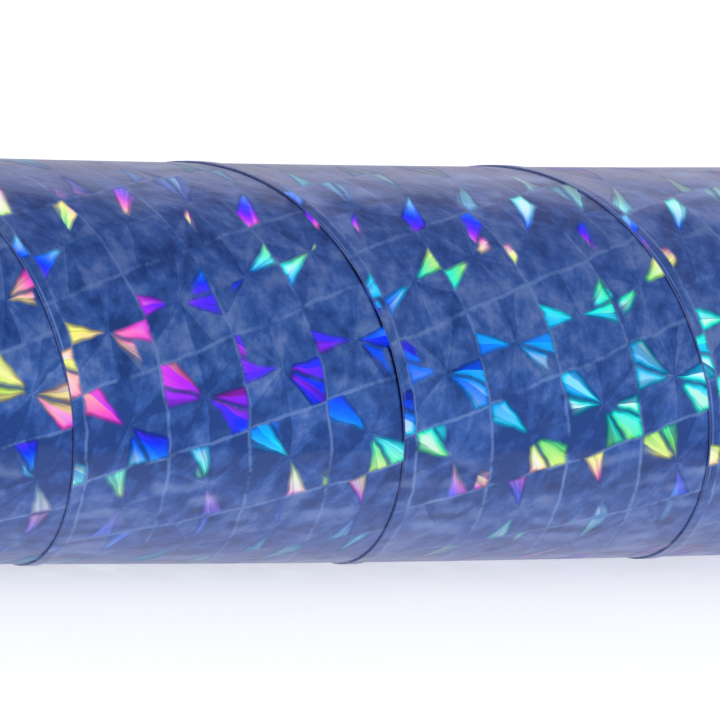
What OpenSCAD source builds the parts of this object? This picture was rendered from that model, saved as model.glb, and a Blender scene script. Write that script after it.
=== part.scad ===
// Rhythmic gymnastics hoop: one bent plastic tube, closed by a pinned plug and covered with wound film tape.
// The hoop lies flat. +Z is up, and the origin is on the floor at the centre of the ring.
// All sizes are in millimetres.

/* [Ring] */
// Inside diameter of the finished hoop
inner_d = 850; // [600:10:900]
// Outside diameter of the bare tube
tube_d = 18.7; // [16:0.1:22]
// Wall of the tube
tube_wall = 2.3; // [1.6:0.1:3]
// Slot between the two ends of the tube, along the centre line
seam_gap = 0.2; // [0.1:0.05:0.6]
// Where the seam lies round the ring, in degrees from +X
seam_angle = 90; // [0:15:345]

/* [Plug] */
// Straight length of the plug beyond its farther pin
plug_past = 10; // [5:1:30]
// Radial play between the plug and the bore of the tube
plug_play = 0.05; // [0.03:0.01:0.15]
// Length of the tapered nose at each end of the plug
nose_len = 6; // [3:0.5:10]
// How far the nose tapers in from the side of the plug
nose_taper = 1.4; // [0.6:0.1:2]
// Width of the glue grooves round the plug
groove_w = 1.6; // [1:0.1:2.5]
// Depth of the glue grooves round the plug
groove_deep = 0.5; // [0.3:0.1:0.8]
// Radius of the core hole along the plug
core_r = 2.2; // [1.5:0.1:2.8]
// How far the root of each nose lies under the side of the plug
nose_inset = 0.02; // [0.01:0.01:0.1]

/* [Pins] */
// Distance from the seam to the nearer pin, along the centre line
pin_first = 12; // [8:1:16]
// Distance from the nearer pin to the farther one
pin_step = 18; // [12:1:22]
// Diameter of a pin's shank
pin_d = 2; // [1.6:0.1:2.4]
// Plug left under the point of a pin, on the far side of the bore
point_cover = 2.1; // [1:0.1:3]
// Diameter of the countersunk head
head_d = 3.8; // [3.2:0.1:4.4]
// Depth of the countersunk head
head_h = 1.1; // [0.8:0.1:1.4]
// Length of the pin's point
point_len = 1.6; // [1:0.1:2.5]
// Radius of the blunt tip of the point
tip_r = 0.2; // [0.1:0.05:0.4]
// Radial play round a pin
pin_play = 0.02; // [0.02:0.01:0.08]
// How far the head lies under the skin of the tube, at its rim
head_sunk = 0.05; // [0.02:0.01:0.2]

/* [Tape] */
// Thickness of the wound tape, averaged over its laps
tape_t = 0.15; // [0.08:0.01:0.3]

/* [Hidden] */

tube_r = tube_d / 2;
bore_r = tube_r - tube_wall;
skin_r = tube_r + tape_t;
ring_r = inner_d / 2 + skin_r;
plug_r = bore_r - plug_play;
plug_straight = pin_first + pin_step + plug_past;
plug_half = plug_straight + nose_len;
head_r = head_d / 2;
shank_r = pin_d / 2;
// Height of the flat head above the centre line of the tube, so that its rim stays under the skin
head_up = sqrt(pow(tube_r - head_sunk, 2) - pow(head_r, 2));
// Height of the tip of the point, below the centre line, so that it stays in the plug
tip_down = plug_r - point_cover;
// Distance of each pin from the seam, along the centre line
pin_at = [-pin_first - pin_step, -pin_first, pin_first, pin_first + pin_step];
// Distance of each glue groove from the seam: one between the two pins, and one beyond the farther pin
groove_at = [for (side = [-1, 1], at = [pin_first + pin_step / 2, plug_straight - plug_past / 2]) side * at];
// Length past a surface by which a cut runs out of it
over = 1;
// Facets of the ring, of a round section of the hoop, and of a pin
ring_fn = 256;
section_fn = 96;
pin_fn = 48;

// Degrees round the ring for a length along its centre line
function turn(length) = length / ring_r * 180 / PI;

// Sweeps a section round the ring, from one angle to another, seam-centred. Its centre lies on the centre line.
module swept(from, to) {
    translate([0, 0, skin_r])
        rotate([0, 0, seam_angle + from])
            rotate_extrude(angle = to - from, $fn = ring_fn)
                translate([ring_r, 0])
                    children();
}

// Puts its children on the centre line, with +Z towards the middle of the ring
module at_ring(length) {
    translate([0, 0, skin_r])
        rotate([0, 0, seam_angle + turn(length)])
            translate([ring_r, 0, 0])
                rotate([0, -90, 0])
                    children();
}

// One pin, turned round Z, with its flat head on top. Play widens it all round for its hole.
module pin_shape(play) {
    rotate_extrude($fn = pin_fn)
        polygon([
            [0, -tip_down],
            [tip_r + play, -tip_down],
            [shank_r + play, point_len - tip_down],
            [shank_r + play, head_up - head_h],
            [head_r + play, head_up],
            [0, head_up],
        ]);
}

// What a pin takes out of the tube and the plug, open above the head
module pin_hole() {
    pin_shape(pin_play);
    translate([0, 0, head_up])
        cylinder(r = head_r + pin_play, h = tape_t + over, $fn = pin_fn);
}

module hoop_tube() {
    half = turn(seam_gap / 2);
    color([0.93, 0.94, 0.96])
        difference() {
            swept(half, 360 - half)
                difference() {
                    circle(r = tube_r, $fn = section_fn);
                    circle(r = bore_r, $fn = section_fn);
                }
            for (length = pin_at)
                at_ring(length) pin_hole();
        }
}

// A short stretch of plug between two places along the centre line
module plug_stretch(from, to, radius) {
    swept(turn(from), turn(to))
        circle(r = radius, $fn = section_fn);
}

// The tapered nose that helps one end of the plug into the tube, along +Z, with its root inside the plug
module nose() {
    rotate_extrude($fn = section_fn)
        polygon([
            [0, -over],
            [plug_r - nose_inset, -over],
            [plug_r - nose_inset, 0],
            [plug_r - nose_taper, nose_len],
            [0, nose_len],
        ]);
}

// What a glue groove takes out of the side of the plug, round Z
module groove_ring() {
    difference() {
        cylinder(r = plug_r + over, h = groove_w, center = true, $fn = section_fn);
        cylinder(r = plug_r - groove_deep, h = groove_w + over, center = true, $fn = section_fn);
    }
}

module joint_plug() {
    color([0.72, 0.74, 0.78])
        difference() {
            union() {
                plug_stretch(-plug_straight, plug_straight, plug_r);
                for (side = [-1, 1])
                    at_ring(side * plug_straight)
                        rotate([side * -90, 0, 0])
                            nose();
            }
            for (length = groove_at)
                at_ring(length)
                    rotate([90, 0, 0])
                        groove_ring();
            plug_stretch(-plug_half - over, plug_half + over, core_r);
            for (length = pin_at)
                at_ring(length) pin_hole();
        }
}

module joint_pin(number) {
    color([0.78, 0.79, 0.8])
        at_ring(pin_at[number - 1])
            pin_shape(0);
}

module film_tape() {
    color([0.22, 0.36, 0.66])
        swept(0, 360)
            difference() {
                circle(r = skin_r, $fn = section_fn);
                circle(r = tube_r, $fn = section_fn);
            }
}

hoop_tube();
joint_plug();
joint_pin(1);  // joint_pin_1
joint_pin(2);  // joint_pin_2
joint_pin(3);  // joint_pin_3
joint_pin(4);  // joint_pin_4
film_tape();
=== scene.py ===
# %% [markdown]
# A rhythmic gymnastics hoop is one bent plastic tube wound from end to end with a long strip of
# holographic film. The plain parts, the tube, its plug and its pins, come from the CAD frame. The
# looks of the hoop are all in its film, so this lesson winds a real lapped strip over the tube,
# prints its pattern with shader nodes and lights it.

# %% The frame
import math

import bpy
import numpy as np
from mathutils import Matrix, Vector


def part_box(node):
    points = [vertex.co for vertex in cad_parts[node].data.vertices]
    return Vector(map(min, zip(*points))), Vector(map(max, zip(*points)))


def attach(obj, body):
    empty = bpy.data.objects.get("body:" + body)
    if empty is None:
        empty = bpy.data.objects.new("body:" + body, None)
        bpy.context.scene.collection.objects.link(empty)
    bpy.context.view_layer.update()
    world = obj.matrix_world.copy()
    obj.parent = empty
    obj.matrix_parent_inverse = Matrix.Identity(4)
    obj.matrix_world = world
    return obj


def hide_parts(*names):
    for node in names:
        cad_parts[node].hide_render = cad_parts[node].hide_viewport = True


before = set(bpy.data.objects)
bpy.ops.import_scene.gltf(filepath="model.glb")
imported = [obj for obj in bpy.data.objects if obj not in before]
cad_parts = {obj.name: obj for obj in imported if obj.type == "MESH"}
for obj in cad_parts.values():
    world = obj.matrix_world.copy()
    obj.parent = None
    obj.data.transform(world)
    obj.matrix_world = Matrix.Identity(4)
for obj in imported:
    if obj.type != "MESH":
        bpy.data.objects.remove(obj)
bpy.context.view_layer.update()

MM = 0.001
print("CAD nodes:", sorted(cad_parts))

# %% [markdown]
# Everything is laid out from two numbers that the frame gives: the radius of the wound tube's
# round section, and the radius of the ring that its centre line makes. The hoop lies on the floor,
# with its middle at the origin.

# %% Sizes of the hoop
sleeve_low, sleeve_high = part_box("film_tape")
tube_low, tube_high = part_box("hoop_tube")
skin_radius = (sleeve_high.z - sleeve_low.z) / 2
tube_radius = (tube_high.z - tube_low.z) / 2
ring_radius = sleeve_high.x - skin_radius
print(f"radius of the ring {ring_radius / MM:.1f} mm")
print(f"radius of the wound tube {skin_radius / MM:.2f} mm, of the bare one {tube_radius / MM:.2f} mm")

# %% [markdown]
# The film is a 19 mm tape that advances a little more than its own width along the tube at each
# turn, because it runs at a slant. Rolled out flat, one turn is a right triangle: the tube's
# girth, the pitch, and the length of tape between them. From that triangle come the slant, the lap
# over the turn before, and the whole length of the strip.

# %% Sizes of the tape
film_thick = (skin_radius - tube_radius) / 2
tape_width = 19 * MM
pitch = 19.3 * MM
girth = math.tau * skin_radius
turn_length = math.hypot(girth, pitch)
slant = math.atan2(pitch, girth)
axial_width = tape_width / math.cos(slant)
lap = axial_width - pitch
turns = math.ceil(math.tau * ring_radius / pitch)
print(f"lap {lap / MM:.2f} mm, {turns} turns, strip {turns * turn_length:.2f} m")

# %% [markdown]
# Where the winding starts is set from the near side of the ring, so that the laps fall where they
# should there. The strip starts on the inner side of the ring, an eighth of the ring away from the
# tube's own seam, so unbroken film holds the seam. Lengths along the ring are counted from its
# near side.

# %% Where the strip starts
near_edge = -6.15 * MM
turns_before = 52
start_along = near_edge - pitch / 2 - turns_before * pitch
start_round = math.pi
print(f"the strip starts {start_along / MM:.1f} mm along the ring from its near side")


# %% [markdown]
# Shader maths reads best as plain arithmetic. This class wraps one socket of a material, and each
# operator adds the Math node that does it. Every other node comes from its node method.

# %% A socket that can be used in arithmetic
class Wire:
    """One output socket of a material's nodes."""

    def __init__(self, tree, socket=None):
        self.tree = tree
        self.socket = socket

    def node(self, kind, settings=None, inputs=None, output=0):
        """Adds a node, with its settings first and then the values or wires of its sockets."""
        added = self.tree.nodes.new(kind)
        for name, value in (settings or {}).items():
            if name == "stops":
                set_stops(added.color_ramp, value)
            else:
                setattr(added, name, value)
        for name, value in (inputs or {}).items():
            if isinstance(value, Wire):
                self.tree.links.new(value.socket, added.inputs[name])
            else:
                added.inputs[name].default_value = value
        return Wire(self.tree, added.outputs[output])

    def math(self, operation, *values):
        return self.node("ShaderNodeMath", {"operation": operation}, dict(enumerate(values)))

    def __add__(self, other):
        return self.math("ADD", self, other)

    def __radd__(self, other):
        return self.math("ADD", other, self)

    def __sub__(self, other):
        return self.math("SUBTRACT", self, other)

    def __rsub__(self, other):
        return self.math("SUBTRACT", other, self)

    def __mul__(self, other):
        return self.math("MULTIPLY", self, other)

    def __rmul__(self, other):
        return self.math("MULTIPLY", other, self)

    def __truediv__(self, other):
        return self.math("DIVIDE", self, other)

    def __neg__(self):
        return self.math("MULTIPLY", self, -1.0)

    def __gt__(self, other):
        return self.math("GREATER_THAN", self, other)

    def __lt__(self, other):
        return self.math("LESS_THAN", self, other)

    def __abs__(self):
        return self.math("ABSOLUTE", self)

    def floor(self):
        return self.math("FLOOR", self)

    def part(self):
        """What is left after the whole number, from 0 to 1."""
        return self.math("FRACT", self)

    def sin(self):
        return self.math("SINE", self)

    def cos(self):
        return self.math("COSINE", self)

    def capped(self, low, high):
        return self.math("MINIMUM", self.math("MAXIMUM", self, low), high)

    def fade(self, start, end):
        """0 at start and 1 at end, eased, for start below or above end."""
        ranges = {"From Min": start, "From Max": end, "Value": self}
        return self.node("ShaderNodeMapRange", {"interpolation_type": "SMOOTHSTEP"}, ranges)

    def ramp(self, value, stops):
        """A colour ramp with these (place, colour) stops, read at value."""
        return self.node("ShaderNodeValToRGB", {"stops": stops}, {"Fac": value})

    def place(self, first, second):
        """A flat place to read a pattern at, from two numbers."""
        return self.node("ShaderNodeCombineXYZ", None, {0: first, 1: second})

    def noise(self, place, scale, detail, rough):
        """Smooth two-way noise, about 0.5."""
        inputs = {"Vector": place, "Scale": scale, "Detail": detail, "Roughness": rough}
        return self.node("ShaderNodeTexNoise", {"noise_dimensions": "2D"}, inputs)

    def chance(self, number):
        """A fixed throw of the dice for each number."""
        return self.node("ShaderNodeTexWhiteNoise", {"noise_dimensions": "1D"}, {"W": number})

    def constant(self, colour):
        """A plain colour, to start a mix from."""
        inputs = {"Factor": 0.0, 6: colour, 7: colour}
        return self.node("ShaderNodeMix", {"data_type": "RGBA"}, inputs, 2)

    def tint(self, other, amount):
        """This colour turned into the other one by an amount from 0 to 1."""
        inputs = {"Factor": amount, 6: self, 7: other}
        return self.node("ShaderNodeMix", {"data_type": "RGBA"}, inputs, 2)


def set_stops(ramp, stops):
    """Gives a colour ramp these (place, colour) stops."""
    while len(ramp.elements) > 1:
        ramp.elements.remove(ramp.elements[-1])
    ramp.elements[0].position = stops[0][0]
    ramp.elements[0].color = stops[0][1]
    for place, colour in stops[1:]:
        ramp.elements.new(place).color = colour


def new_material(name, **constants):
    """A material with its shader's sockets set, its shader, and a wire to start from."""
    material = bpy.data.materials.new(name)
    material.use_nodes = True
    shader = material.node_tree.nodes["Principled BSDF"]
    for socket, value in constants.items():
        shader.inputs[socket.replace("_", " ")].default_value = value
    return material, shader, Wire(material.node_tree)


def feed(shader, wires):
    """Links wires to the shader's sockets by name."""
    for socket, wire in wires.items():
        wire.tree.links.new(wire.socket, shader.inputs[socket])


def linear(red, green, blue):
    """A colour of the screen, 0 to 255, as the light that Blender works in."""
    return tuple((c / 255) ** 2.2 for c in (red, green, blue)) + (1.0,)


# %% [markdown]
# The film's pattern lives on the tape, so it is drawn in the tape's own UV map, which holds metres
# across the tape and metres along it. The same two numbers also tell where each point lies on the
# hoop: how far along the ring and how far round the tube. The light that a holographic facet sends
# back depends on those two, so it is painted from them. The bands of painted light and shade round
# the tube are counted from a line a little above its outermost one.

# %% The places that the film's pattern is drawn on
material_film, film_shader, film = new_material(
    "holographic_film",
    Specular_Tint=(0.78, 0.74, 0.84, 1),
    Coat_Roughness=0.22,
    Coat_IOR=1.5,
    Emission_Strength=1.0,
)
tape_map = film.node("ShaderNodeUVMap", {"uv_map": "tape"})
across = film.node("ShaderNodeSeparateXYZ", None, {"Vector": tape_map}, 0)
along = film.node("ShaderNodeSeparateXYZ", None, {"Vector": tape_map}, 1)
turn = (along - across * math.tan(slant)) / turn_length
ring_place = turn * pitch + across / math.cos(slant) + start_along
tube_angle = turn * -math.tau + start_round
tube_place = tube_angle * skin_radius
bands_from = math.radians(12)
side_angle = tube_angle - bands_from
print(f"the bands of light are counted from {math.degrees(bands_from):.0f} degrees up")

# %% [markdown]
# An almost square lattice of fine pale lines is pressed into the film, in line with its edges. The
# press and the winding leave it a little out of true here and there, which two noises give.

# %% The lattice of tiles
tile_across = 4.5 * MM
tile_along = 4.6 * MM
first_column = 0.7 * MM
first_row = (turns_before + 0.5) * turn_length - 3.0 * MM
waver = 0.42 * MM
waver_scale = 420
elsewhere = 0.5
across_noise = film.noise(film.place(across, along), waver_scale, 2, 0.6)
along_noise = film.noise(film.place(across + elsewhere, along), waver_scale, 2, 0.6)
column = (across + (across_noise - 0.5) * waver - first_column) / tile_across
row = (along + (along_noise - 0.5) * waver - first_row) / tile_along
tile_x = column.part() - 0.5
tile_y = 0.5 - row.part()
print(f"{tape_width / tile_across:.1f} tiles across, {turn_length / tile_along:.1f} in a turn")

# %% [markdown]
# Each tile is a twelve-rayed star: four kites that reach its corners and eight thin triangles on
# its edges. Counting from the tile's middle, the direction of a point picks its facet. The angles
# within a tile are in degrees, and a facet's own angle is that of its middle line.

# %% The facets of a tile
kite_ends = 0.28
kite_half = math.degrees(math.atan2(0.5, kite_ends)) - 45
thin_wide = 45 - kite_half
degree = math.radians(1)
ray = tile_y.math("ARCTAN2", tile_y, tile_x) * math.degrees(1) + 360
quarter = (ray / 90).floor()
in_quarter = ray - quarter * 90
is_low = in_quarter < thin_wide
is_high = in_quarter > 90 - thin_wide
is_kite = 1 - is_low - is_high
facet_in_quarter = is_low * (thin_wide / 2) + is_kite * 45 + is_high * (90 - thin_wide / 2)
facet_half = is_kite * kite_half + (1 - is_kite) * (thin_wide / 2)
facet_turn = quarter * 90 + facet_in_quarter
off_middle = (ray - facet_turn) / facet_half
facet_x = (facet_turn * degree).cos()
facet_y = (facet_turn * degree).sin()
print(f"kites {2 * kite_half:.1f} degrees wide, thin triangles {thin_wide:.1f}")

# %% [markdown]
# What a facet does is decided at one place, a third of a tile out from the tile's middle, so the
# light doesn't change across it. Every facet is a fan of narrow blades, three in a kite and two in
# a thin triangle. Each facet and each blade throws its own dice, for a number of its own. Odd
# multipliers keep those numbers apart.

# %% The blades of a facet
facet_reach = 0.36
step_x = (facet_x * facet_reach - tile_x) * tile_across
step_y = (facet_y * facet_reach - tile_y) * tile_along
round_step = step_y * math.cos(slant) - step_x * math.sin(slant)
facet_side = side_angle + round_step / skin_radius
blade_count = is_kite + 2
blade = ((off_middle + 1) / 2 * blade_count).floor()
blade_turn = facet_turn + ((blade + 0.5) / blade_count * 2 - 1) * facet_half
facet_number = column.floor() * 3.71 + row.floor() * 12.13 + (facet_turn / 15).floor() * 1.37
facet_chance = film.chance(facet_number)
facet_shade = film.chance(facet_number + 17.3)
blade_chance = film.chance(facet_number + blade * 0.31 + 40.7)
blade_shade = film.chance(facet_number + blade * 0.53 + 71.9)
print(f"blades of a kite are {2 * kite_half / 3:.1f} degrees wide, of a triangle {thin_wide / 2:.1f}")

# %% [markdown]
# Each blade is a fine grating that lights up only where its lines face the lamp. That light is
# painted here: the direction that shines turns steadily round the tube, fixed on the film. A facet
# shines when its own direction is within a window of that one, and its outer blades fade first. The
# window is widest along four lines round the tube, and a little chance in it stands for the film's
# waviness.

# %% Which blades shine
shining_rate = 1.5
shining_sway = 4.9
shining_start = 24
busy_lines = 4
busy_start = 0.7
window_least = 5
window_busy = 17
window_chance = 8
facet_soft = 2
blade_from = 3
blade_to = 14
lit_turn = (
    facet_side * math.degrees(shining_rate) - (facet_side * 2).sin() * shining_sway - shining_start
)
facet_miss = abs(((facet_turn - lit_turn + 90) / 180).part() * 180 - 90)
blade_miss = abs(((blade_turn - lit_turn + 90) / 180).part() * 180 - 90)
busy = (facet_side * busy_lines + busy_start).cos() * 0.5 + 0.5
window = busy * window_busy + facet_chance * window_chance + window_least
lit_facet = facet_miss.fade(window + facet_soft, window)
lit_facet = lit_facet * blade_miss.fade(window + blade_to, window + blade_from)
shine = (1.2 - blade_miss / 40) * (0.6 + blade_chance * 0.5)
rim = facet_side.sin().fade(0.76, 0.86) + facet_side.sin().fade(-0.46, -0.74)
print(f"the window is {window_least} to {window_least + window_busy + window_chance} degrees")

# %% [markdown]
# The press doesn't fill a facet to its edges. The shining part is rounded at its corners, stops
# short of the tile's middle, and sinks through a deep colour into the foil all round. Its room is
# how far a point lies inside it, in tiles.

# %% The shape of a shining part
corner_round = 0.025
middle_gap = 0.03
middle_gap_chance = 0.12
edge_x = 0.5 - abs(tile_x)
edge_y = 0.5 - abs(tile_y)
near_line = edge_x.math("MINIMUM", edge_x, edge_y)
off_centre = tile_x.math("SQRT", tile_x * tile_x + tile_y * tile_y)
side_room = (1 - abs(off_middle)) * facet_half * degree * off_centre
line_room = near_line * 0.9 + 0.01
end_chance = (facet_chance * 7.3).part()
end_room = (off_centre - middle_gap - end_chance * middle_gap_chance) * 0.7
room = side_room.math("SMOOTH_MIN", side_room, line_room, corner_round)
room = room.math("SMOOTH_MIN", room, end_room, corner_round)
lit = lit_facet * room.fade(-0.016, 0.010)
core = room.fade(-0.018, 0.060)
print(f"corners are rounded over {corner_round * tile_across / MM:.2f} mm")

# %% [markdown]
# The colour of a lit blade runs through the rainbow along the hoop, and through it again round the
# tube, because the angle to the lamp changes. Where two rainbows overlap, an eighth of the way
# round from the middle of each side, the colours are a little paler, and so is the heart of some
# blades. Each blade has its own pitch, so neighbours differ. The rims of the tube send back a
# greyer light.

# %% The colours of the shining blades
rainbow_start = 0.49
rainbows_along = 36
waves_along = 22
wave_high = 0.17
rainbows_round = 2.5
blade_spread = 0.12
ring_turn = ring_place / (math.tau * ring_radius)
colour_side = facet_side * 0.35 + side_angle * 0.65 - math.radians(1.5)
spread = colour_side.sin() * 1.31
spread = (spread * spread + 1).math("SQRT", spread * spread + 1)
rainbow = (
    rainbow_start
    + ring_turn * rainbows_along
    + ((ring_turn * (math.tau * waves_along)).cos() - 1) * wave_high
    + (spread - 1) * rainbows_round
    + ((colour_side * 8).cos() - 1) * 0.04
    + (blade_chance - 0.5) * blade_spread
).part()
rainbow_stops = [
    (0.0, (255, 250, 120)),
    (0.07, (255, 190, 170)),
    (0.14, (255, 80, 200)),
    (0.21, (190, 40, 250)),
    (0.29, (90, 40, 255)),
    (0.38, (20, 50, 255)),
    (0.47, (0, 120, 255)),
    (0.56, (0, 185, 252)),
    (0.65, (0, 245, 250)),
    (0.74, (40, 245, 185)),
    (0.83, (110, 235, 110)),
    (0.92, (200, 248, 100)),
    (1.0, (255, 250, 120)),
]
blue_at = 0.33
near_white = (0.92, 0.97, 1.0, 1)
rim_light = linear(150, 176, 206)
pure = film.ramp(rainbow, [(at, linear(*colour)) for at, colour in rainbow_stops])
washed = (colour_side * 4).cos().fade(0.0, -0.9) * 0.2
pale = washed + room.fade(0.03, 0.085) * facet_chance.fade(0.1, 0.9) * blade_chance * 0.9
pale = pale * abs(rainbow - blue_at).fade(0.08, 0.28)
facet_light = pure.tint(near_white, pale.capped(0, 0.75))
facet_light = facet_light.tint(rim_light, rim * 0.5)
print(len(rainbow_stops), "colours in a rainbow,", rainbows_along, "rainbows round the ring")

# %% [markdown]
# Under the facets the film is a blue metal foil. Two noises mottle it, and its facets and blades
# differ slightly. Painted shade makes it darker along four lines round the tube. Its lattice lines
# are a little paler, and worn away in places; low on the tube they are paler still, which is painted
# light. A noise's scale is a number for each metre, so 900 gives patches of about a millimetre.

# %% The foil
foil_low = linear(2, 60, 130)
foil_mid = linear(47, 91, 168)
foil_high = linear(96, 126, 188)
foil_pale = linear(112, 146, 205)
dark_edge_and_wrinkle_shade = linear(28, 42, 90)
mottle_scale = 900
patch_scale = 260
flat_place = film.place(ring_place, tube_place)
mottle = film.noise(flat_place, mottle_scale, 4, 0.62)
patches = film.noise(flat_place, patch_scale, 2, 0.5)
height_round = side_angle.sin()
# painted shade: darker along four lines round the tube
painted_shade_bands = (side_angle * 4 + math.radians(94)).cos().capped(0, 1) * 0.4
shade = 0.52 + (mottle - 0.5) * 1.8 + (patches - 0.5) * 0.9 - painted_shade_bands
shade = shade + (facet_shade - 0.5) * 0.4 + (blade_shade - 0.5) * 0.2
foil = film.ramp(shade.capped(0, 1), [(0.0, foil_low), (0.5, foil_mid), (1.0, foil_high)])
worn = (mottle * 0.5 + patches * 0.5).fade(0.36, 0.56)
line = near_line.fade(0.030, 0.010) * worn
# low on the tube the lines get painted light as well
foil = foil.tint(foil_pale, line * (0.5 + height_round.fade(-0.35, -0.6) * 0.3))
print(len(film.tree.nodes), "nodes as far as the foil")

# %% [markdown]
# High on the tube and low on it the foil gets a painted reflection of the pale room, with a ragged
# edge to the haze. The winding also leaves soft wrinkles there, and each gets a painted light side
# and a painted dark side. One noise read at two places, 0.3 mm apart round the tube, gives both
# sides: the difference is the slope.

# %% The painted haze and the painted shading of the wrinkles
painted_haze_colour = linear(166, 176, 205)
painted_wrinkle_light = linear(136, 158, 208)
ragged = (patches - 0.5) * 0.3
# painted reflection of the pale room, high and low on the tube
painted_haze = (height_round + ragged).fade(0.78, 0.83) * 0.2
painted_haze = painted_haze + (height_round + ragged * 0.5).fade(-0.43, -0.48) * 0.05
painted_haze = painted_haze + height_round.fade(-0.45, -0.95) * 0.11
foil = foil.tint(painted_haze_colour, painted_haze)
wrinkle_scale = 480
wrinkle_aside = 0.3 * MM
wrinkle_along = ring_place * 0.5 - tube_place * 0.25
wrinkle_round = tube_place * 1.2
wrinkle_low, wrinkle_high = (
    film.noise(film.place(wrinkle_along, wrinkle_round + aside), wrinkle_scale, 1, 0.5)
    for aside in (0, wrinkle_aside)
)
wrinkled = height_round.fade(-0.38, -0.55) + height_round.fade(0.7, 0.85) * 0.8 + 0.15
# painted light and shade on the two sides of each wrinkle
wrinkle_light_and_shade = (wrinkle_low - wrinkle_high) * wrinkled * patches.fade(0.46, 0.62) * 4
foil = foil.tint(painted_wrinkle_light, wrinkle_light_and_shade.capped(0, 0.5))
foil = foil.tint(dark_edge_and_wrinkle_shade, (-wrinkle_light_and_shade).capped(0, 0.5))
print(len(film.tree.nodes), "nodes as far as the wrinkles")

# %% [markdown]
# The cut edge of the tape shows as a thin dark line on top, worn in places, and the cut itself is
# a duller blue. A fine painted glint runs beside the line where the edge is turned up.

# %% The cut edge of the tape
foil_side = linear(112, 126, 174)
wear_scale = 70
wear_row = 3.3
cut_deep = 0.005 * MM
edge_wear = film.noise(film.place(along, wear_row), wear_scale, 2, 0.6)
cut_edge = across.fade(0.07 * MM, 0.02 * MM)
cut_face = across < cut_deep
edge_glint = across.fade(0.10 * MM, 0.14 * MM) * across.fade(0.26 * MM, 0.18 * MM)
foil = foil.tint(dark_edge_and_wrinkle_shade, cut_edge * edge_wear.fade(0.4, 0.6) * 0.8)
foil = foil.tint(foil_side, cut_face * edge_wear.fade(0.65, 0.5))
# the painted glint beside the edge
foil = foil.tint(foil_pale, edge_glint * edge_wear.fade(0.55, 0.4) * 0.8)
print(len(film.tree.nodes), "nodes as far as the cut edge")

# %% [markdown]
# A lit blade has fine streaks along it, which a noise on its angle gives. Its light is a painted glow
# in the Emission colour, which stands in for the foil's own colour, so the foil under it goes dark.
# The painted light is weaker on the rims of the tube.

# %% The painted light of the facets
black = (0.0, 0.0, 0.0, 1)
streak_scale = 0.35
lit = lit * (1 - cut_edge)
streaks = film.noise(film.place(ray, facet_number), streak_scale, 1, 0.5)
strength = lit * (0.13 + core * core * 1.05) * shine * (0.6 + streaks * 1.2) * (1 - rim * 0.65)
strength = strength.capped(0, 1)
strength = strength * (1 - abs(facet_side.sin()).fade(0.86, 0.97) * 0.5)
foil = foil.tint(black, lit * (0.25 + core * 0.65) * (1 - rim * 0.8))
# the painted glow of the lit blades, in the Emission colour
painted_flash_glow = film.constant(black).tint(facet_light, strength)
print(len(film.tree.nodes), "nodes as far as the light of the facets")

# %% [markdown]
# Last come the crinkles, as bumps: a soft noise, and creases that run between the cells of a
# Voronoi pattern. Both are stretched along the tube, as the tape was when it was wound.

# %% The crinkles, and the whole film
crinkle_scale = 480
crease_scale = 420
crinkle_high = 0.15 * MM
crinkle_place = film.place(ring_place * 0.6 - tube_place * 0.25, tube_place + ring_place * 0.2)
crinkle = film.noise(crinkle_place, crinkle_scale, 3, 0.6)
creases = film.node(
    "ShaderNodeTexVoronoi",
    {"voronoi_dimensions": "2D", "feature": "SMOOTH_F1"},
    {"Vector": crinkle_place, "Scale": crease_scale, "Smoothness": 0.3},
)
bump = film.node(
    "ShaderNodeBump",
    None,
    {"Strength": 1.0, "Distance": crinkle_high, "Height": crinkle * 0.8 + creases * 0.6},
)
feed(
    film_shader,
    {
        "Base Color": foil,
        "Metallic": 1 - cut_face * 0.8,
        "Roughness": 0.34 + (mottle - 0.5) * 0.25,
        "Coat Weight": 0.5 - lit * 0.4,
        "Emission Color": painted_flash_glow,
        "Normal": bump,
    },
)
print(len(film.tree.nodes), "nodes in the film's material")


# %% [markdown]
# The strip is made as it is wound. Its thin cross-section is drawn once, with the step where it
# climbs over the turn before, a hair of glue above it. A Screw modifier winds it round a straight
# tube, and a Simple Deform modifier bends the lot into the ring. It is made in four lengths that
# butt together, so that none of them is too heavy and each has a sharp map.

# %% The cross-section of the strip
screw_steps = 96
glue_thick = 0.01 * MM
hair = 0.01 * MM
ramp_end = lap + 0.45 * MM
cuts = [lap / 2, lap, ramp_end, 3 * MM, 6 * MM, 9 * MM, 12 * MM, 15 * MM, 17.5 * MM, pitch]
print(f"{len(cuts)} cuts across the strip, {screw_steps} steps in a turn")

# %% [markdown]
# Edit mode's operators act on what is selected. Two helpers select edges and vertices by their
# place, so that it doesn't matter in what order Blender keeps them.


# %% Selecting by place
def select_edges(mesh, wanted):
    """Selects, in edit mode, the edges whose two ends answer to wanted."""
    bpy.ops.object.mode_set(mode="OBJECT")
    for edge in mesh.edges:
        ends = [mesh.vertices[i].co for i in edge.vertices]
        edge.select = wanted(*ends)
    for vertex in mesh.vertices:
        vertex.select = False
    for polygon in mesh.polygons:
        polygon.select = False
    bpy.ops.object.mode_set(mode="EDIT")


def select_vertices(mesh, wanted):
    """Selects, in edit mode, the vertices whose place answers to wanted."""
    bpy.ops.mesh.select_mode(type="VERT")
    bpy.ops.mesh.select_all(action="DESELECT")
    bpy.ops.object.mode_set(mode="OBJECT")
    for vertex in mesh.vertices:
        vertex.select = wanted(vertex.co)
    bpy.ops.object.mode_set(mode="EDIT")


# %% [markdown]
# The section starts as a plane, as wide as the strip and as thick as the film. It is cut across,
# and the edges inside it are deleted, so that only the outline is left. The underside is hidden, so
# the points that it can do without are dissolved. Last, the lap is lifted over the turn before.


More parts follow.
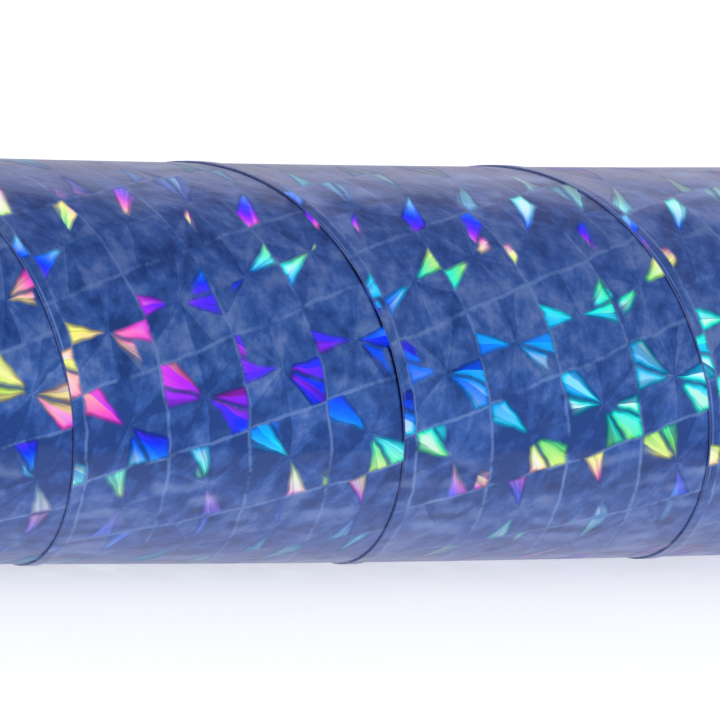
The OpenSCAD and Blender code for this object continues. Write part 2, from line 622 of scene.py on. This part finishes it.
# %% Drawing the cross-section
def tape_section(name):
    """The strip's cross-section as a closed loop of edges, beside a tube that lies along X."""
    bpy.ops.object.select_all(action="DESELECT")
    bpy.ops.mesh.primitive_plane_add(size=1)
    section = bpy.context.object
    section.name = name
    section.scale = (axial_width, film_thick, 1)
    section.location = (axial_width / 2, tube_radius + film_thick / 2, 0)
    bpy.ops.object.transform_apply(location=True, rotation=True, scale=True)
    bpy.ops.object.mode_set(mode="EDIT")
    for cut in cuts:
        bpy.ops.mesh.select_all(action="SELECT")
        bpy.ops.mesh.bisect(plane_co=(cut, 0, 0), plane_no=(1, 0, 0))
    bpy.ops.mesh.select_mode(type="EDGE")
    select_edges(
        section.data,
        lambda a, b: abs(a.x - b.x) < hair and hair < a.x < axial_width - hair,
    )
    bpy.ops.mesh.delete(type="EDGE")
    middle = tube_radius + film_thick / 2
    kept = (0, lap, ramp_end, axial_width)
    select_vertices(
        section.data,
        lambda co: co.y < middle and min(abs(co.x - at) for at in kept) > hair,
    )
    bpy.ops.mesh.dissolve_verts()
    select_vertices(section.data, lambda co: co.x < lap + hair)
    bpy.ops.transform.translate(value=(0, film_thick + glue_thick, 0))
    bpy.ops.object.mode_set(mode="OBJECT")
    return section


# %% [markdown]
# Film wound on a bent tube has too much length on the inner side of the ring. It stands a tenth of
# a millimetre off the tube there, and its lapped edge puckers in small waves. Here and there the
# edge stands a little off the turn below on the other sides too. Each vertex is moved out by a sum
# of waves, which die out in from the edge. The first turn has nothing to lap, so its edge lies flat.
# The last turn also climbs over the first one, where the strip closes the ring.

# %% The sizes of the puckers
pucker_high = 0.16 * MM
pucker_from = 0.375
pucker_long = 6.5 * MM
pucker_drift = 1.3
drift_long = 23 * MM
lift_high = 0.07 * MM
lift_reach = 1.4 * MM
slack_high = 0.1 * MM
slack_whole = 1 / 1.2
settle_turns = 1 / 8
loose_at = (turns_before + 0.45) * turn_length
loose_waves = (31 * MM, 17.3 * MM, 7.1 * MM)
loose_from = 2.6
loose_whole = 0.4
over_from = math.tau * ring_radius - (turns - 1) * pitch
over_climb = 0.5 * MM
over_high = 2.1 * film_thick
over_turns = 1 / 16
print(f"puckers {pucker_high / MM:.2f} mm high, slack {slack_high / MM:.2f} mm")


# %% How far the strip is lifted
def edge_lift(length, angle, from_edge):
    """How far the strip stands off the tube.

    It goes by the length along the strip, the angle round the tube and the way in from the edge.
    """
    inner = -np.cos(angle)
    puckered = np.clip((inner - pucker_from) / (1 - pucker_from), 0, 1)
    drift = pucker_drift * np.sin(length / drift_long)
    wave = 0.5 + 0.5 * np.sin(math.tau * length / pucker_long + drift)
    from_loose = length - loose_at
    slow = sum(np.cos(from_loose / wave_long) for wave_long in loose_waves)
    rare = np.clip(slow - loose_from, 0, loose_whole) / loose_whole
    past_first_turn = np.clip((length / turn_length - 1) / settle_turns, 0, 1)
    fade = np.clip(1 - from_edge / lift_reach, 0, 1) ** 2 * past_first_turn
    slack = slack_high * np.clip(inner / slack_whole, 0, 1)
    return slack + (pucker_high * puckered * wave + lift_high * rare) * fade


# %% [markdown]
# The winding is one copy of the section after another, so a vertex's number tells how far it lies
# along the strip and across it. From those two come its lift and its place in the map that the
# pattern is drawn on.


# %% The lift and the map for the pattern
def lay_out(strip, first_turn, section_size, across_at):
    """Lifts the strip's edge, and maps each point by its place across the tape and along it."""
    mesh = strip.data
    count = len(mesh.vertices)
    step = np.arange(count) // section_size
    inward = across_at[np.arange(count) % section_size]
    places = np.empty(count * 3)
    mesh.vertices.foreach_get("co", places)
    places = places.reshape(-1, 3)
    edge_turn = step / screw_steps
    last_turn = np.clip((first_turn + edge_turn - turns + 1) / over_turns + 1, 0, 1)
    over_start = last_turn * np.clip((inward - over_from) / over_climb + 1, 0, 1)
    length = (first_turn + edge_turn) * turn_length + inward * math.sin(slant)
    angle = start_round - edge_turn * math.tau
    radius = np.hypot(places[:, 1], places[:, 2])
    lifted = 1 + (edge_lift(length, angle, inward) + over_start * over_high) / radius
    places[:, 1] *= lifted
    places[:, 2] *= lifted
    mesh.vertices.foreach_set("co", places.ravel())
    corner = np.empty(len(mesh.loops), int)
    mesh.loops.foreach_get("vertex_index", corner)
    pattern = np.stack([inward[corner] * math.cos(slant), length[corner]], 1)
    layer = mesh.uv_layers.new(name="tape")
    layer.data.foreach_set("uv", pattern.ravel())
    return corner, step, inward


# %% [markdown]
# The second map is for baking, so it fills its square. The turns of a length lie side by side in
# three rows, and the hidden underside takes only a thin band.

# %% The map for baking
bake_rows = 3
turns_in_row = 12
under_band = 0.03
row_gap = 0.01
edge_gap = 0.0004
print(bake_rows, "rows of", turns_in_row, "turns")


def bake_map(strip, corner, step, inward, top_place):
    """Lays the turns side by side in rows, with the hidden underside in a thin band."""
    mesh = strip.data
    starts = np.empty(len(mesh.polygons), int)
    mesh.polygons.foreach_get("loop_start", starts)
    sizes = np.diff(np.append(starts, len(corner)))
    face_step = np.repeat(np.minimum.reduceat(step[corner], starts), sizes)
    under = np.repeat(np.add.reduceat((~top_place[corner]).astype(int), starts) == sizes, sizes)
    turn_number = np.minimum(face_step // screw_steps, bake_rows * turns_in_row - 1)
    part = step[corner] / screw_steps - turn_number
    in_row = turn_number % turns_in_row
    row_number = turn_number // turns_in_row
    u = (in_row + part + inward[corner] / axial_width) / (turns_in_row + 1)
    u = u - edge_gap * (~top_place[corner])
    v = (row_number + row_gap + (1 - 2 * row_gap) * np.clip(part, 0, 1)) / bake_rows
    v = np.where(under, 1 - under_band * (1 - (1 - 2 * row_gap) * v), v * (1 - under_band))
    layer = mesh.uv_layers.new(name="OFBake")
    layer.data.foreach_set("uv", np.clip(np.stack([u, v], 1), 0, 1).ravel())


# %% [markdown]
# The Screw modifier copies the section once for each step of each turn. The copies stay in order,
# which the two maps rely on. The open ends are then filled, and the straight winding is slid to
# its place along the ring before it is bent. The bend keeps that place, because it turns each
# point by its own distance along X.


# %% Winding and bending
def wind(strip, turn_count):
    """Winds the section round the tube's axis, one pitch along for each turn."""
    screw = strip.modifiers.new("wind", "SCREW")
    screw.axis = "X"
    screw.angle = math.tau
    screw.screw_offset = pitch
    screw.iterations = turn_count
    screw.steps = screw_steps
    screw.render_steps = screw_steps
    bpy.ops.object.modifier_apply(modifier=screw.name)


def close_ends(strip):
    """Fills the two open ends of the strip and turns all its faces outward."""
    bpy.ops.object.mode_set(mode="EDIT")
    bpy.ops.mesh.select_all(action="SELECT")
    bpy.ops.mesh.fill_holes(sides=0)
    bpy.ops.mesh.select_all(action="SELECT")
    bpy.ops.mesh.normals_make_consistent(inside=False)
    bpy.ops.object.mode_set(mode="OBJECT")


def bend_to_ring(strip, along):
    """Slides the winding along to its place and bends it round the middle of the ring."""
    strip.location.x = along
    bpy.ops.object.transform_apply(location=True)
    reach = [v.co.x for v in strip.data.vertices]
    bend_round = strip.modifiers.new("bend", "SIMPLE_DEFORM")
    bend_round.deform_method = "BEND"
    bend_round.deform_axis = "Z"
    bend_round.angle = (max(reach) - min(reach)) / ring_radius
    bpy.ops.object.modifier_apply(modifier=bend_round.name)
    strip.location = (0, -ring_radius, skin_radius)
    bpy.ops.object.transform_apply(location=True)
    bpy.ops.object.shade_smooth_by_angle(angle=math.radians(35))


# %% [markdown]
# Four lengths of 35 or 36 turns make the whole strip. The last one runs over the start of the
# first.


# %% The whole strip
def film_strip(name, first_turn, turn_count):
    """One length of the strip, from its cross-section to its place on the ring."""
    strip = tape_section(name)
    section_size = len(strip.data.vertices)
    inward = np.array([v.co.x for v in strip.data.vertices])
    outward = np.array([v.co.y for v in strip.data.vertices])
    step_up = np.where(inward < lap + hair, film_thick, 0)
    top = outward > tube_radius + film_thick / 2 + step_up
    wind(strip, turn_count)
    copies = turn_count * screw_steps + 1
    assert len(strip.data.vertices) == section_size * copies, "the winding has lost its order"
    corner, step, across_from = lay_out(strip, first_turn, section_size, inward)
    bake_map(strip, corner, step, across_from, np.tile(top, copies))
    close_ends(strip)
    bend_to_ring(strip, start_along + first_turn * pitch)
    strip.data.materials.append(material_film)
    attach(strip, "root")
    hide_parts("film_tape")
    print(name, len(strip.data.polygons), "faces")


# %% Winding all four
turn_counts = [36, 35, 36, 35]
turns_wound = 0
for number, turn_count in enumerate(turn_counts, 1):
    film_strip(f"film_strip_{number}", turns_wound, turn_count)
    turns_wound += turn_count
print(turns_wound, "turns wound,", turns, "needed")

# %% [markdown]
# Under the film lie the parts from the frame. The tube is extruded plastic, the plug is moulded, and
# the pins are plated steel. The film hides them, but each still gets its own finish.


# %% Finishes of the hidden parts
def noisy(wire, scale, detail=2.0):
    """Plain noise on the object's own coordinates."""
    place = wire.node("ShaderNodeTexCoord", None, None, 3)
    return wire.node("ShaderNodeTexNoise", None, {"Vector": place, "Scale": scale, "Detail": detail})


def plastic(name, light, dark, scale):
    """A smooth plastic with faint streaks of colour and a slightly uneven gloss."""
    material, shader, wire = new_material(name, IOR=1.5)
    streaks = noisy(wire, scale)
    colour = wire.ramp(streaks, [(0.3, dark), (0.7, light)])
    bump_sizes = {"Strength": 0.1, "Distance": 0.05 * MM, "Height": noisy(wire, scale * 12)}
    bumps = wire.node("ShaderNodeBump", None, bump_sizes)
    feed(shader, {"Base Color": colour, "Roughness": 0.3 + streaks * 0.15, "Normal": bumps})
    return material


def steel(name):
    """Plated steel with fine marks."""
    material, shader, wire = new_material(name, Metallic=1.0)
    marks = noisy(wire, 2500)
    colour = wire.ramp(marks, [(0.3, (0.5, 0.5, 0.52, 1)), (0.7, (0.7, 0.7, 0.72, 1))])
    feed(shader, {"Base Color": colour, "Roughness": 0.2 + marks * 0.2})
    return material


finishes = {
    "hoop_tube": plastic("tube_plastic", (0.85, 0.87, 0.9, 1), (0.76, 0.78, 0.82, 1), 60),
    "joint_plug": plastic("plug_plastic", (0.48, 0.5, 0.54, 1), (0.42, 0.44, 0.48, 1), 150),
}
pin_finish = steel("pin_steel")
for number in (1, 2, 3, 4):
    finishes[f"joint_pin_{number}"] = pin_finish
for node_name, finish in finishes.items():
    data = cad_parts[node_name].data
    data.materials.clear()
    data.materials.append(finish)
print(len(finishes), "hidden parts finished")

# %% [markdown]
# The studio is a plain pale floor under an even pale sky, which is a little bluer and dimmer high
# up. Two large soft lamps light the hoop, a stronger one from the left and a faint one from the
# right.

# %% The floor
bpy.ops.object.select_all(action="DESELECT")
bpy.ops.mesh.primitive_plane_add(size=60, location=(0, 0, sleeve_low.z))
floor = bpy.context.object
floor.name = "studio_floor"
floor_low = (0.62, 0.62, 0.62, 1)
floor_high = (0.66, 0.66, 0.66, 1)
material_floor, floor_shader, floor_wire = new_material(
    "studio_white",
    Roughness=0.9,
    Emission_Color=(1, 1, 1, 1),
    Emission_Strength=0.62,
)
tone = noisy(floor_wire, 3)
feed(floor_shader, {"Base Color": floor_wire.ramp(tone, [(0.0, floor_low), (1.0, floor_high)])})
floor.data.materials.append(material_floor)
print(f"floor at {sleeve_low.z / MM:.2f} mm, {len(floor_wire.tree.nodes)} nodes in its material")

# %% The sky
world = bpy.data.worlds.new("studio_sky")
bpy.context.scene.world = world
world.use_nodes = True
sky = Wire(world.node_tree)
direction = sky.node("ShaderNodeTexCoord", None, None, 0)
height = sky.node("ShaderNodeSeparateXYZ", None, {"Vector": direction}, 2)
sky_stops = [(0.0, (1.0, 0.99, 1.0, 1)), (0.66, (0.92, 0.92, 1.0, 1)), (0.86, (0.5, 0.54, 0.66, 1))]
sky_colour = sky.ramp(height, sky_stops)
background = world.node_tree.nodes["Background"]
background.inputs["Strength"].default_value = 0.8
world.node_tree.links.new(sky_colour.socket, background.inputs["Color"])
print(len(sky_stops), "stops from the horizon to the top of the sky")


# %% The lamps
def soft_lamp(name, place, size, power, target):
    """A square soft lamp that faces a target, with its size in metres and its power in watts."""
    bpy.ops.object.light_add(type="AREA", location=place)
    lamp = bpy.context.object
    lamp.name = name
    lamp.data.shape = "SQUARE"
    lamp.data.size = size
    lamp.data.energy = power
    lamp.rotation_euler = (target - Vector(place)).to_track_quat("-Z", "Y").to_euler()
    print(name, "stands", round((target - Vector(place)).length, 2), "m from the tube")


near_side = Vector((0, -ring_radius, skin_radius))
soft_lamp("lamp_left", (-1.6, -1.0, 1.1), size=1.0, power=5, target=near_side)
soft_lamp("lamp_right", (1.8, 0.8, 1.0), size=1.0, power=1, target=near_side)

# %% [markdown]
# The camera stands close outside the near side of the ring, a little above it, with a very long
# lens that shows only a short stretch of tube. Its three axes are worked out in the tube's own
# directions: along the ring, in to its middle, and up. The tube crosses the view tilted in depth,
# and the camera is rolled to keep it level.

# %% The camera
depth_tilt = math.radians(41.64)
round_turn = math.radians(-12)
distance = 0.670
aim_right = 0.55 * MM
aim_up = -0.17 * MM
lens_long = 706.4
tube_seen = Vector((math.cos(depth_tilt), 0, -math.sin(depth_tilt)))
inward_seen = Vector(
    (
        -math.cos(round_turn) * math.sin(depth_tilt),
        -math.sin(round_turn),
        -math.cos(round_turn) * math.cos(depth_tilt),
    )
)
up_seen = tube_seen.cross(inward_seen)
tube_way = Vector((1, 0, 0))
inward_way = Vector((0, 1, 0))
up_way = Vector((0, 0, 1))
right, up, back = (
    tube_seen[i] * tube_way + inward_seen[i] * inward_way + up_seen[i] * up_way for i in range(3)
)
place = near_side - aim_right * right - aim_up * up + distance * back
camera_data = bpy.data.cameras.new("studio_camera")
camera_data.sensor_fit = "HORIZONTAL"
camera_data.sensor_width = 36
camera_data.lens = lens_long
camera_data.clip_start = 0.01
camera_data.clip_end = 100
camera = bpy.data.objects.new("studio_camera", camera_data)
bpy.context.scene.collection.objects.link(camera)
camera.matrix_world = Matrix.Translation(place) @ Matrix((right, up, back)).transposed().to_4x4()
bpy.context.scene.camera = camera
bpy.context.scene.view_settings.view_transform = "Standard"
print("camera at", [round(c, 3) for c in place])
